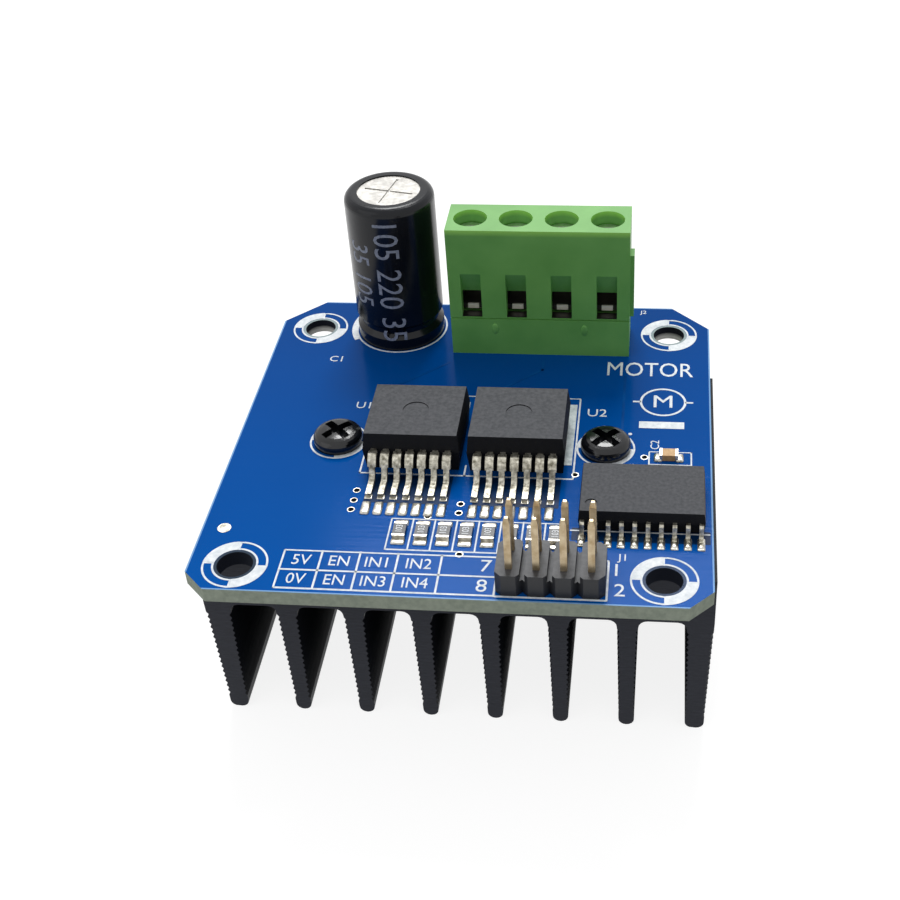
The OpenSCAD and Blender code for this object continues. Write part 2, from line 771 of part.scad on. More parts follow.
// Eight square pins with pointed tips.
module header_pins() {
    point_h = 0.5;
    shaft = pin_h + board_t + pin_tail - 2 * point_h;
    color("#C9B68F")
        for (point = header_points)
            translate([point[0], point[1], board_z - pin_tail])
                intersection() {
                    rotate([90, 0, 0]) linear_extrude(pin_t, center = true) pin_profile(shaft, point_h);
                    rotate([90, 0, 90]) linear_extrude(pin_t, center = true) pin_profile(shaft, point_h);
                }
}

module pin_profile(shaft, point_h) {
    flat = pin_t * 0.25;
    polygon([
        [-flat, 0], [flat, 0], [pin_t / 2, point_h], [pin_t / 2, point_h + shaft],
        [flat, shaft + 2 * point_h], [-flat, shaft + 2 * point_h], [-pin_t / 2, point_h + shaft], [-pin_t / 2, point_h]
    ]);
}

// Ceramic chip with a black overcoat on its top.
module resistor(index) {
    color("#202226")
        translate([resistor_point(index)[0], resistor_point(index)[1], top_z + 0.05])
            standing_box([resistor_w, resistor_l - 2 * resistor_end, resistor_h - 0.05]);
}

// Tinned ends of all the resistors.
module resistor_ends() {
    color("#DAD6CA")
        for (index = [1:resistor_n], side = [-1, 1])
            translate([
                resistor_point(index)[0],
                resistor_point(index)[1] + side * (resistor_l - resistor_end) / 2,
                top_z
            ])
                standing_box([resistor_w, resistor_end, resistor_h]);
}

// Tan ceramic block of the chip capacitor.
module ceramic_capacitor_body() {
    color("#C49A62")
        translate([ceramic_x, front_y + ceramic_inset, top_z + 0.05])
            standing_box([ceramic_l - 2 * ceramic_end, ceramic_w, ceramic_h - 0.05]);
}

// Its two tinned ends.
module ceramic_capacitor_ends() {
    color("#DAD6CA")
        for (side = [-1, 1])
            translate([ceramic_x + side * (ceramic_l - ceramic_end) / 2, front_y + ceramic_inset, top_z])
                standing_box([ceramic_end, ceramic_w + 0.04, ceramic_h + 0.02]);
}

// Solder cones under the board, one round each through-hole lead.
module solder_joints() {
    color("#CFCDC6") {
        for (point = cap_lead_points) solder_cone(point) cylinder(h = 2 * solder_h, r = cap_lead_d / 2 + 0.01);
        for (way = [1:ways])
            solder_cone(contact_point(way)) standing_box([contact_pin_w + 0.02, contact_t + 0.02, 2 * solder_h]);
        for (point = header_points)
            solder_cone(point) standing_box([pin_t + 0.02, pin_t + 0.02, 2 * solder_h]);
    }
}

module solder_cone(point) {
    translate([point[0], point[1], board_z - solder_h])
        difference() {
            cylinder(h = solder_h, r1 = solder_r * 0.64, r2 = solder_r);
            translate([0, 0, -cut]) children();
        }
}

circuit_board();
heatsink();
thermal_pad();
heatsink_screws();
capacitor_can();
capacitor_sleeve();
capacitor_bung();
capacitor_leads();
terminal_housing();
terminal_base();
terminal_contacts();
clamp_screw(1);  // clamp_screw_1
clamp_screw(2);  // clamp_screw_2
clamp_screw(3);  // clamp_screw_3
clamp_screw(4);  // clamp_screw_4
wire_cage(1);  // wire_cage_1
wire_cage(2);  // wire_cage_2
wire_cage(3);  // wire_cage_3
wire_cage(4);  // wire_cage_4
driver_body(-1);  // driver_body_left
driver_body(1);  // driver_body_right
driver_tab(-1);  // driver_tab_left
driver_tab(1);  // driver_tab_right
driver_leads(-1);  // driver_leads_left
driver_leads(1);  // driver_leads_right
logic_chip_body();
logic_chip_leads();
header_housing();
header_pins();
resistor(1);  // resistor_1
resistor(2);  // resistor_2
resistor(3);  // resistor_3
resistor(4);  // resistor_4
resistor(5);  // resistor_5
resistor(6);  // resistor_6
resistor(7);  // resistor_7
resistor(8);  // resistor_8
resistor_ends();
ceramic_capacitor_body();
ceramic_capacitor_ends();
solder_joints();
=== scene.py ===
# Two-channel motor driver board on a finned heatsink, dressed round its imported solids.
# Lengths are in metres; values named _mm are millimetres.
import math

import bmesh
import bpy
from mathutils import Matrix, Vector


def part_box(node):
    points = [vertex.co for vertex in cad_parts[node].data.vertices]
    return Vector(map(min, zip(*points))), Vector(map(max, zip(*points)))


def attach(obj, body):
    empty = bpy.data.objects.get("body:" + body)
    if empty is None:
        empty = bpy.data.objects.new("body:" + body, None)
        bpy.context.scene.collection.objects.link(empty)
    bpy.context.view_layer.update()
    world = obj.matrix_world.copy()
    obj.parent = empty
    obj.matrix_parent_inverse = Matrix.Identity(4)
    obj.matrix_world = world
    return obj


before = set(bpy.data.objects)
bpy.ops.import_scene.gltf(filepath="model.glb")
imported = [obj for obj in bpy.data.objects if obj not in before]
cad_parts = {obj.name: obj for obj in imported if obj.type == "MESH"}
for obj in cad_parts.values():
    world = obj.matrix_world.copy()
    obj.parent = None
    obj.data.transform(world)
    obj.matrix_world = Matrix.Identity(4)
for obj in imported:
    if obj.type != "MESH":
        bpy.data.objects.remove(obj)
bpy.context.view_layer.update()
MM = 0.001

# The camera stands in front of the board's right half and looks down on it by about 38 degrees.
# Focal length and picture centre are in pixels of a 900 by 900 picture.
picture_px = 900
focal_px = 1423.3
centre_px = (509.3, 435.4)
eye = Vector((0.01914, -0.11805, 0.1144))
yaw, pitch, roll = math.radians(-7.389), math.radians(37.67), math.radians(-2.906)
forward = Vector((math.sin(yaw) * math.cos(pitch), math.cos(yaw) * math.cos(pitch), -math.sin(pitch)))
level_right = Vector((math.cos(yaw), -math.sin(yaw), 0))
level_up = level_right.cross(forward)
right = math.cos(roll) * level_right + math.sin(roll) * level_up
up = math.cos(roll) * level_up - math.sin(roll) * level_right
lens = bpy.data.cameras.new("camera")
lens.sensor_width = 36
lens.lens = focal_px / picture_px * lens.sensor_width
lens.shift_x = 0.5 - centre_px[0] / picture_px
lens.shift_y = centre_px[1] / picture_px - 0.5
lens.clip_start = 0.005
camera = bpy.data.objects.new("camera", lens)
camera.matrix_world = Matrix.Translation(eye) @ Matrix((right, up, -forward)).transposed().to_4x4()
bpy.context.scene.collection.objects.link(camera)
bpy.context.scene.camera = camera
bpy.context.scene.view_settings.view_transform = "Standard"


# Studio: a pale floor and a white room that the camera and the reflections see at full strength,
# with softer light for the surfaces themselves, most of it from above.
def linear(hex_colour):
    """sRGB hex such as "#0057A6" as linear red, green, blue and alpha."""
    parts = [int(hex_colour[i:i + 2], 16) / 255 for i in (1, 3, 5)]
    return [*[p / 12.92 if p <= 0.04045 else ((p + 0.055) / 1.055) ** 2.4 for p in parts], 1.0]


def add_node(tree, kind, inputs=None, **settings):
    """Adds a node with its settings; an input is a value or the socket that feeds it."""
    node = tree.nodes.new(kind)
    for name, value in settings.items():
        setattr(node, name, value)
    for name, value in (inputs or {}).items():
        if isinstance(value, bpy.types.NodeSocket):
            tree.links.new(value, node.inputs[name])
        else:
            node.inputs[name].default_value = value
    return node


def calculate(tree, operation, *values):
    """The result of a Math node; each value is a number or a socket."""
    return add_node(tree, "ShaderNodeMath", dict(enumerate(values)), operation=operation).outputs[0]


def seen_directly(tree):
    """1 for camera, mirror and glass rays, 0 for the light that falls on surfaces."""
    path = add_node(tree, "ShaderNodeLightPath")
    either = calculate(tree, "MAXIMUM", path.outputs["Is Camera Ray"], path.outputs["Is Glossy Ray"])
    return calculate(tree, "MAXIMUM", either, path.outputs["Is Transmission Ray"])


world = bpy.data.worlds.new("studio")
bpy.context.scene.world = world
world.use_nodes = True
room = world.node_tree
room.nodes.clear()
heading = add_node(room, "ShaderNodeSeparateXYZ",
                   {"Vector": add_node(room, "ShaderNodeTexCoord").outputs["Generated"]})
overhead = add_node(room, "ShaderNodeMapRange",
                    {"Value": heading.outputs["Z"], "To Min": 0.06, "To Max": 0.85})
room_level = add_node(room, "ShaderNodeMix",
                      {"Factor": seen_directly(room), 2: overhead.outputs["Result"], 3: 1.0})
room_light = add_node(room, "ShaderNodeBackground",
                      {"Color": (1.0, 1.0, 1.0, 1.0), "Strength": room_level.outputs[0]})
add_node(room, "ShaderNodeOutputWorld", {"Surface": room_light.outputs[0]})

floor_mesh = bpy.data.meshes.new("floor")
bm = bmesh.new()
FLOOR_HALF = 1.5
bmesh.ops.create_grid(bm, x_segments=1, y_segments=1, size=FLOOR_HALF)
bm.to_mesh(floor_mesh)
bm.free()
floor = bpy.data.objects.new("floor", floor_mesh)
bpy.context.scene.collection.objects.link(floor)
floor_paint = bpy.data.materials.new("white_floor")
floor_paint.use_nodes = True
tree = floor_paint.node_tree
tree.nodes.clear()
matt = add_node(tree, "ShaderNodeBsdfDiffuse", {"Color": linear("#8C8C8C")})
glow = add_node(tree, "ShaderNodeEmission", {"Color": (1.0, 1.0, 1.0, 1.0), "Strength": 0.86})
no_glow = add_node(tree, "ShaderNodeEmission", {"Strength": 0.0})
lift = add_node(tree, "ShaderNodeMixShader",
                {0: seen_directly(tree), 1: no_glow.outputs[0], 2: glow.outputs[0]})
both = add_node(tree, "ShaderNodeAddShader", {0: matt.outputs[0], 1: lift.outputs[0]})
add_node(tree, "ShaderNodeOutputMaterial", {"Surface": both.outputs[0]})
floor_mesh.materials.append(floor_paint)

for name, place, size, power in (
    ("key", (-0.03, 0.43, 0.6), 0.27, 3.2),
    ("fill", (-0.5, -0.3, 0.35), 0.5, 0.35),
):
    lamp = bpy.data.lights.new(name, "AREA")
    lamp.size = size
    lamp.energy = power
    holder = bpy.data.objects.new(name, lamp)
    holder.matrix_world = (Matrix.Translation(place)
                           @ Vector(place).to_track_quat("Z", "Y").to_matrix().to_4x4())
    bpy.context.scene.collection.objects.link(holder)


# Circuit board: glass-fibre laminate under a glossy blue solder mask, routed to its outline.
# The mask covers only the two faces, so the routed edge shows the olive laminate. The corner holes carry
# painted shade at the front and at the top of their walls, and painted light from below in the rear
# holes. The mask is paler in a thin strip along the edges, and darker towards the rear as painted shade.
# The mask is drawn on from side to side, which leaves fine ripples.
def start_material(name, colour, roughness, **shader_inputs):
    """A new material with one shader; gives the material, its tree, its shader and Object coordinates."""
    material = bpy.data.materials.new(name)
    material.use_nodes = True
    tree = material.node_tree
    tree.nodes.clear()
    values = {"Base Color": linear(colour), "Roughness": roughness, **shader_inputs}
    shader = add_node(tree, "ShaderNodeBsdfPrincipled", values)
    add_node(tree, "ShaderNodeOutputMaterial", {"Surface": shader.outputs[0]})
    coords = add_node(tree, "ShaderNodeTexCoord").outputs["Object"]
    return material, tree, shader, coords


def per_size(size_mm):
    """Texture scale at which one feature of a pattern measures size_mm."""
    return 1 / (size_mm * MM)


def mix_colours(tree, factor, first, second):
    """A colour between two others, each a hex colour or a socket."""
    first, second = (linear(end) if isinstance(end, str) else end for end in (first, second))
    mix = add_node(tree, "ShaderNodeMix", {"Factor": factor, 6: first, 7: second}, data_type="RGBA")
    return mix.outputs[2]


def facing(tree, axis):
    """How squarely a surface looks along an axis of the object, from -1 to 1."""
    normal = add_node(tree, "ShaderNodeTexCoord").outputs["Normal"]
    return add_node(tree, "ShaderNodeSeparateXYZ", {"Vector": normal}).outputs[axis]


def vary_colour(tree, shader, coords, size_mm, dark, light, detail=3.0):
    """Clouds the base colour between two hex colours, in patches of size_mm."""
    noise = add_node(tree, "ShaderNodeTexNoise",
                     {"Vector": coords, "Scale": per_size(size_mm), "Detail": detail})
    ramp = add_node(tree, "ShaderNodeValToRGB", {"Fac": noise.outputs["Fac"]})
    ramp.color_ramp.elements[0].position, ramp.color_ramp.elements[1].position = 0.3, 0.7
    ramp.color_ramp.elements[0].color, ramp.color_ramp.elements[1].color = linear(dark), linear(light)
    tree.links.new(ramp.outputs["Color"], shader.inputs["Base Color"])
    return ramp.outputs["Color"]


def grain(tree, shader, coords, size_mm, height_mm, strength=1.0, stretch=(1, 1, 1)):
    """Fine relief from noise of size_mm, height_mm deep."""
    stretched = add_node(tree, "ShaderNodeMapping", {"Vector": coords, "Scale": stretch})
    noise = add_node(tree, "ShaderNodeTexNoise",
                     {"Vector": stretched.outputs[0], "Scale": per_size(size_mm), "Detail": 2.0})
    bump = add_node(tree, "ShaderNodeBump",
                    {"Height": noise.outputs["Fac"], "Distance": height_mm * MM, "Strength": strength})
    tree.links.new(bump.outputs[0], shader.inputs["Normal"])
    return noise.outputs["Fac"]


def dress(material, *nodes):
    """Gives CAD nodes a material in place of their plain one."""
    for name in nodes:
        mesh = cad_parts[name].data
        mesh.materials.clear()
        mesh.materials.append(material)


board_low, board_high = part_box("circuit_board")
board_top = board_high.z
board_under = board_low.z

mask, tree, shader, coords = start_material(
    "blue_solder_mask_on_laminate", "#0057A6", 0.2,
    **{"Specular IOR Level": 0.08, "Specular Tint": linear("#0068D8")})
place = add_node(tree, "ShaderNodeSeparateXYZ", {"Vector": coords})
clouds = add_node(tree, "ShaderNodeTexNoise", {"Vector": coords, "Scale": per_size(14), "Detail": 2.0})
# Painted shade: the mask is drawn darker towards the rear, on top of its cloudy tone.
painted_rear_shade = add_node(tree, "ShaderNodeMapRange",
                     {"Value": place.outputs["Y"], "From Min": 25 * MM, "From Max": -25 * MM, "To Max": 0.75})
tone_and_painted_rear_shade = calculate(tree, "MULTIPLY_ADD", clouds.outputs["Fac"], 0.4, painted_rear_shade.outputs["Result"])
blue = mix_colours(tree, tone_and_painted_rear_shade, "#004087", "#0053A6")
WHITENED_EDGE = 0.16 * MM
outward = calculate(tree, "MAXIMUM", calculate(tree, "ABSOLUTE", place.outputs["X"]),
                    calculate(tree, "ABSOLUTE", place.outputs["Y"]))
at_edge = calculate(tree, "GREATER_THAN", outward, board_high.x - WHITENED_EDGE)
blue = mix_colours(tree, at_edge, blue, "#7FA9D6")
fibres = add_node(tree, "ShaderNodeTexNoise", {"Vector": coords, "Scale": per_size(0.6), "Detail": 4.0})
laminate = mix_colours(tree, fibres.outputs["Fac"], "#98A596", "#D8E2CF")
is_face = calculate(tree, "GREATER_THAN", calculate(tree, "ABSOLUTE", facing(tree, "Z")), 0.5)
solid = mix_colours(tree, is_face, laminate, blue)

# The corner holes stand 20.4 mm each way from a point 1.1 mm in front of the board's middle.
DRILLED = 2.03 * MM
about_middle = add_node(tree, "ShaderNodeVectorMath", {0: coords, 1: (0, 1.1 * MM, 0)}, operation="ADD")
one_corner = add_node(tree, "ShaderNodeVectorMath", {0: about_middle.outputs[0]}, operation="ABSOLUTE")
level = add_node(tree, "ShaderNodeVectorMath", {0: one_corner.outputs[0], 1: (1, 1, 0)}, operation="MULTIPLY")
to_hole = add_node(tree, "ShaderNodeVectorMath", {0: level.outputs[0], 1: (20.4 * MM, 20.4 * MM, 0)},
                   operation="DISTANCE")
in_hole = calculate(tree, "LESS_THAN", to_hole.outputs["Value"], DRILLED)
# Painted light and shade in the corner holes: each wall is dark at the top as painted shade, and in the rear
# holes pale lower down as painted light from below. The rim round each hole is dark in front as painted shade
# and pale behind as painted light.
at_rear = calculate(tree, "GREATER_THAN", place.outputs["Y"], 0.0)
painted_light_below = add_node(tree, "ShaderNodeMapRange",
                       {"Value": place.outputs["Z"], "From Min": board_top - 0.75 * MM,
                        "From Max": board_under + 0.35 * MM, "To Max": at_rear})
painted_wall_light_shade = mix_colours(tree, painted_light_below.outputs["Result"], "#23262E", "#F4F4F0")
rim = mix_colours(tree, at_rear, "#3A4654", "#9AA9AB")
hole = mix_colours(tree, is_face, painted_wall_light_shade, rim)
tree.links.new(mix_colours(tree, in_hole, solid, hole), shader.inputs["Base Color"])
rough = add_node(tree, "ShaderNodeMapRange", {"Value": is_face, "To Min": 0.75, "To Max": 0.13})
tree.links.new(rough.outputs["Result"], shader.inputs["Roughness"])
combed = add_node(tree, "ShaderNodeMapping", {"Vector": coords, "Scale": (0.06, 1.0, 1.0)})
ripple = add_node(tree, "ShaderNodeTexNoise",
                  {"Vector": combed.outputs[0], "Scale": per_size(0.5), "Detail": 3.0})
relief = add_node(tree, "ShaderNodeBump",
                  {"Height": ripple.outputs["Fac"], "Distance": 0.02 * MM, "Strength": 0.5})
tree.links.new(relief.outputs[0], shader.inputs["Normal"])
dress(mask, "circuit_board")


# Silkscreen: white epoxy ink printed over the mask, about 0.03 mm thick.
# Rings round the holes, boxes round the parts, the pin table and plain letters and numbers.
INK = 0.03 * MM
ink_level = board_top + 0.004 * MM  # a hair above the mask, so that the two surfaces stay apart
printing = bmesh.new()


def bar(bm, start, end, width_mm):
    """A printed line between two points in millimetres."""
    (x0, y0), (x1, y1) = start, end
    length = math.hypot(x1 - x0, y1 - y0)
    quad = bmesh.ops.create_grid(bm, x_segments=1, y_segments=1, size=0.5)["verts"]
    place = (Matrix.Translation(((x0 + x1) / 2 * MM, (y0 + y1) / 2 * MM, ink_level))
             @ Matrix.Rotation(math.atan2(y1 - y0, x1 - x0), 4, "Z")
             @ Matrix.Diagonal(((length + width_mm) * MM, width_mm * MM, 1, 1)))
    bmesh.ops.transform(bm, matrix=place, verts=quad)


def outline(bm, corners, width_mm, closed=True):
    """Printed lines through corners in millimetres."""
    for start, end in zip(corners, corners[1:] + corners[:1] if closed else corners[1:]):
        bar(bm, start, end, width_mm)


def sector(bm, centre, inner_mm, outer_mm, from_deg, to_deg):
    """A printed part of a ring, swept about a centre in millimetres."""
    middle = Vector((centre[0] * MM, centre[1] * MM, ink_level))
    aim = Vector((math.cos(math.radians(from_deg)), math.sin(math.radians(from_deg)), 0))
    ends = [bm.verts.new(middle + aim * radius * MM) for radius in (inner_mm, outer_mm)]
    edge = bm.edges.new(ends)
    steps = max(4, int(abs(to_deg - from_deg) / 5))
    bmesh.ops.spin(bm, geom=[*ends, edge], cent=middle, axis=(0, 0, 1), dvec=(0, 0, 0),
                   angle=math.radians(to_deg - from_deg), steps=steps, use_merge=to_deg - from_deg >= 360)


def hole_ring(bm, centre, hole_mm, outer_mm):
    """Ring round a screw hole: two solid quarters, and two open ones between fine arcs."""
    for from_deg in (90, 270):
        sector(bm, centre, hole_mm, outer_mm, from_deg, from_deg + 90)
    for from_deg in (0, 180):
        sector(bm, centre, hole_mm, hole_mm + 0.2, from_deg, from_deg + 90)
        sector(bm, centre, outer_mm - 0.2, outer_mm, from_deg, from_deg + 90)


def letters(bm, text, centre, height_mm, turn_deg=0, squeeze=1.0):
    """Plain letters, their capitals height_mm tall, centred on a point in millimetres."""
    curve = bpy.data.curves.new("letters", "FONT")
    curve.body = text
    curve.align_x, curve.align_y = "CENTER", "CENTER"
    curve.size = height_mm / 0.73 * MM  # capitals are 0.73 of the font's size
    curve.resolution_u = 3
    holder = bpy.data.objects.new("letters", curve)
    bpy.context.scene.collection.objects.link(holder)
    drawn = holder.evaluated_get(bpy.context.evaluated_depsgraph_get())
    mesh = bpy.data.meshes.new_from_object(drawn)
    mesh.transform(Matrix.Translation((centre[0] * MM, centre[1] * MM, ink_level))
                   @ Matrix.Rotation(math.radians(turn_deg), 4, "Z") @ Matrix.Diagonal((squeeze, 1, 1, 1)))
    bm.from_mesh(mesh)
    bpy.data.meshes.remove(mesh)
    bpy.data.objects.remove(holder)
    bpy.data.curves.remove(curve)


corner_holes = [(-20.4, -21.5), (20.4, -21.5), (-20.4, 19.3), (20.4, 19.3)]
for centre in corner_holes:
    hole_ring(printing, centre, 2.05, 3.2)
for x in (-14.1, 14.1):
    hole_ring(printing, (x, -2.0), 1.95, 3.05)
sector(printing, (-10.75, 19.9), 5.15, 5.35, 0, 360)
sector(printing, (-10.75, 19.9), 5.35, 5.9, 150, 210)

# Pin table left of the header, four columns by two rows, with its rules running on to the header.
table_x = [-16.0, -12.3, -8.6, -4.9, -0.7]
table_y = [-19.2, -21.9, -24.4]
header_left = 4.7
rule_width = 0.2
for y in table_y:
    bar(printing, (table_x[0], y), (header_left, y), rule_width)
for x in table_x:
    bar(printing, (x, table_y[0]), (x, table_y[2]), rule_width)
for row, names in enumerate((("5V", "EN", "IN1", "IN2"), ("0V", "EN", "IN3", "IN4"))):
    y = (table_y[row] + table_y[row + 1]) / 2
    for column, name in enumerate(names):
        letters(printing, name, ((table_x[column] + table_x[column + 1]) / 2, y), 1.45, squeeze=0.86)
outline(printing, [(4.75, -19.1), (15.15, -19.1), (15.15, -24.45), (4.75, -24.45)], rule_width)
for number, place in (("7", (3.6, -20.5)), ("8", (3.5, -23.2)), ("1", (15.9, -20.4)), ("2", (16.3, -23.1))):
    letters(printing, number, place, 1.7)
letters(printing, "J1", (16.5, -18.6), 0.95)

# Box and dividers round the eight resistors.
row_left, row_pitch, row_rear, row_front = -6.38, 2.17, -14.1, -18.6
row_right = row_left + 8 * row_pitch
outline(printing, [(row_left, row_rear), (row_right, row_rear),
                   (row_right, row_front), (row_left, row_front)], 0.16)
for index in range(1, 8):
    divider = row_left + index * row_pitch
    bar(printing, (divider, row_rear), (divider, row_front), 0.16)

# Outlines round the drivers, the logic chip and the ceramic capacitor.
outline(printing, [(-11.0, 6.5), (11.0, 6.5), (11.0, -7.2), (0, -7.2), (-10.9, -7.2)], 0.18)
bar(printing, (-0.1, -5.6), (-0.1, -7.2), 0.18)
outline(printing, [(11.3, -14.95), (24.6, -14.95)], 0.16, closed=False)
outline(printing, [(18.6, -2.35), (22.9, -2.35), (22.9, -4.45), (18.6, -4.45)], 0.16)
letters(printing, "C2", (19.2, -1.2), 0.95, turn_deg=90)
letters(printing, "U1", (-12.45, 4.3), 1.2)
letters(printing, "U2", (12.9, 4.0), 1.35)
letters(printing, "U3", (16.7, -4.9), 0.8)
letters(printing, "C1", (-17.2, 13.0), 1.1)
letters(printing, "J2", (17.4, 24.0), 0.7)
letters(printing, "MOTOR", (18.3, 12.2), 2.7, squeeze=0.72)

# A plain motor sign, a circle with an M between two wires, over a solid bar.
sign = (19.9, 6.3)
sector(printing, sign, 2.25, 2.5, 0, 360)
letters(printing, "M", sign, 2.3)
for side in (-1, 1):
    bar(printing, (sign[0] + side * 2.5, sign[1]), (sign[0] + side * 3.1, sign[1]), 0.25)
bar(printing, (18.0, 2.2), (21.6, 2.2), 1.15)
sector(printing, (16.55, 0.53), 0.0001, 0.2, 0, 360)

printed = printing.verts[:] + printing.edges[:] + printing.faces[:]
rear_margin = 0.15 * MM
bmesh.ops.bisect_plane(printing, geom=printed, plane_co=(0, board_high.y - rear_margin, 0),
                       plane_no=(0, 1, 0), clear_outer=True)
bmesh.ops.remove_doubles(printing, verts=printing.verts, dist=1e-7)
bmesh.ops.solidify(printing, geom=printing.faces[:], thickness=-INK)
bmesh.ops.recalc_face_normals(printing, faces=printing.faces)


def add_piece(name, bm, material, body="root", smooth_below_deg=None):
    """Makes a bmesh a piece of the object that moves with a body."""
    mesh = bpy.data.meshes.new(name)
    bm.to_mesh(mesh)
    bm.free()
    mesh.materials.append(material)
    if smooth_below_deg is not None:
        mesh.shade_smooth()
        mesh.set_sharp_from_angle(angle=math.radians(smooth_below_deg))
    piece = bpy.data.objects.new(name, mesh)
    bpy.context.scene.collection.objects.link(piece)
    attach(piece, body)
    return piece


ink, tree, shader, coords = start_material("white_epoxy_ink", "#E4EAEE", 0.5)
vary_colour(tree, shader, coords, 0.5, "#CBD3DA", "#EEF2F5")
add_piece("silkscreen", printing, ink)


# Copper tracks: etched foil under the mask, which stands 0.02 mm proud over them. They run from the
# terminal block and the drivers' leads, and show a shade darker than the board round them.
copper = bmesh.new()
for start, end, width in (
    ((15.68, 10.9), (15.68, 1.3), 0.3), ((-9.3, 8.35), (-4.3, 12.8), 0.3), ((2.56, 8.35), (6.4, 11.8), 0.3),
    ((6.4, 11.8), (6.4, 13.6), 0.3),
):
    bar(copper, start, end, width)
for x in (0.9, 2.9, 4.1, 6.6, 8.2):
    bar(copper, (x, -12.9), (x, -13.9), 0.26)
bmesh.ops.solidify(copper, geom=copper.faces[:], thickness=-0.02 * MM)
bmesh.ops.recalc_face_normals(copper, faces=copper.faces)
track, tree, shader, coords = start_material(
    "mask_over_track", "#00458C", 0.2, **{"Specular IOR Level": 0.08})
vary_colour(tree, shader, coords, 3, "#003F84", "#004F9B")
add_piece("tracks", copper, track)

# Painted shadow under the leads: flat navy sheets on the mask below the leads of the drivers and of the
# logic chip, which darken the board there as the leads' shadow.
clear = bmesh.new()
for middle_mm in (-5.45, 5.55):
    bar(clear, (middle_mm - 2.1, -9.6), (middle_mm + 2.1, -9.6), 4.4)
bar(clear, (12.3, -15.45), (23.8, -15.45), 1.8)
bmesh.ops.solidify(clear, geom=clear.faces[:], thickness=-0.01 * MM)
bmesh.ops.recalc_face_normals(clear, faces=clear.faces)
painted_lead_shadow, tree, shader, coords = start_material(
    "painted_shadow_under_leads", "#04244A", 0.3, **{"Specular IOR Level": 0.08})
vary_colour(tree, shader, coords, 1.2, "#031A38", "#0A3564")
add_piece("painted_lead_shadows", clear, painted_lead_shadow)

# Vias: drilled holes plated with copper, each with a small tinned ring round a flat dark disc, which is
# painted shade in place of the open bore. The round tinned land near the front left hole is a test point.
via_points = [(-10.67, -10.03), (-10.69, -11.57), (-10.72, -13.0), (0.12, -11.63), (0.1, -13.0),
              (-2.9, -13.66), (0.91, -18.99), (11.2, -6.5), (18.12, -3.33)]
via_rings = bmesh.new()
via_holes = bmesh.new()
for point in via_points:
    sector(via_rings, point, 0.3, 0.38, 0, 360)
    sector(via_holes, point, 0.0001, 0.3, 0, 360)
sector(via_rings, (-22.76, -16.4), 0.0001, 0.68, 0, 360)
for rings in (via_rings, via_holes):
    bmesh.ops.remove_doubles(rings, verts=rings.verts, dist=1e-7)
bmesh.ops.solidify(via_rings, geom=via_rings.faces[:], thickness=-0.04 * MM)
bmesh.ops.solidify(via_holes, geom=via_holes.faces[:], thickness=-0.015 * MM)
for rings in (via_rings, via_holes):
    bmesh.ops.recalc_face_normals(rings, faces=rings.faces)

solder_metal, tree, shader, coords = start_material("reflowed_solder", "#C4C1B6", 0.3, Metallic=1.0)
vary_colour(tree, shader, coords, 0.5, "#8F8B7E", "#E6E3DA")
grain(tree, shader, coords, 0.5, 0.02)
add_piece("vias", via_rings, solder_metal)
# Painted shade: a flat dark disc in each via stands for the shaded bore.
painted_bore_shade, tree, shader, coords = start_material("painted_via_bore_shade", "#0A0D14", 0.8, **{"Specular IOR Level": 0.05})
vary_colour(tree, shader, coords, 0.3, "#05070B", "#12161D")
add_piece("via_bores", via_holes, painted_bore_shade)


# Heatsink: one extruded length of aluminium, sawn to size and then black anodised.
# The sides carry the die's fine lines along the length; the sawn ends are greyer and duller. The
# saw's marks are drawn coarser than real, so that they show from the camera.
anodised, tree, shader, coords = start_material(
    "black_anodised_aluminium", "#22252B", 0.5, **{"Specular IOR Level": 0.2})
is_end = calculate(tree, "GREATER_THAN", calculate(tree, "ABSOLUTE", facing(tree, "Y")), 0.7)
saw = add_node(tree, "ShaderNodeMapping", {"Vector": coords, "Scale": (1.0, 1.0, 5.0)})
saw_marks = add_node(tree, "ShaderNodeTexNoise",
                     {"Vector": saw.outputs[0], "Scale": per_size(1.2), "Detail": 5.0})
sawn = mix_colours(tree, saw_marks.outputs["Fac"], "#1F2129", "#3C3F49")
die = add_node(tree, "ShaderNodeMapping", {"Vector": coords, "Scale": (1.0, 0.03, 1.0)})
die_lines = add_node(tree, "ShaderNodeTexNoise",
                     {"Vector": die.outputs[0], "Scale": per_size(0.25), "Detail": 3.0})
drawn = mix_colours(tree, die_lines.outputs["Fac"], "#0E1015", "#22252B")
tree.links.new(mix_colours(tree, is_end, drawn, sawn), shader.inputs["Base Color"])
scratches = add_node(tree, "ShaderNodeMix",
                     {"Factor": is_end, 2: die_lines.outputs["Fac"], 3: saw_marks.outputs["Fac"]})
relief = add_node(tree, "ShaderNodeBump",
                  {"Height": scratches.outputs[0], "Distance": 0.03 * MM, "Strength": 0.6})
tree.links.new(relief.outputs[0], shader.inputs["Normal"])
dress(anodised, "heatsink")

# Thermal pad: soft grey silicone filled with ceramic powder, cut from a sheet and pressed between
# the board and the heatsink. The powder leaves it matt and faintly speckled.
silicone, tree, shader, coords = start_material("filled_silicone", "#8E9298", 0.85)
vary_colour(tree, shader, coords, 0.4, "#7D8187", "#A1A5AA")
grain(tree, shader, coords, 0.2, 0.02)
dress(silicone, "thermal_pad")

# Heatsink screws: steel pan heads with a cross recess, through the board into the heatsink. They
# are black zinc plated and a little oily, so their edges glint.
black_zinc, tree, shader, coords = start_material("black_zinc_steel", "#0F1116", 0.16)
vary_colour(tree, shader, coords, 0.7, "#07080B", "#12141A")
grain(tree, shader, coords, 0.15, 0.006)
dress(black_zinc, "heatsink_screws")

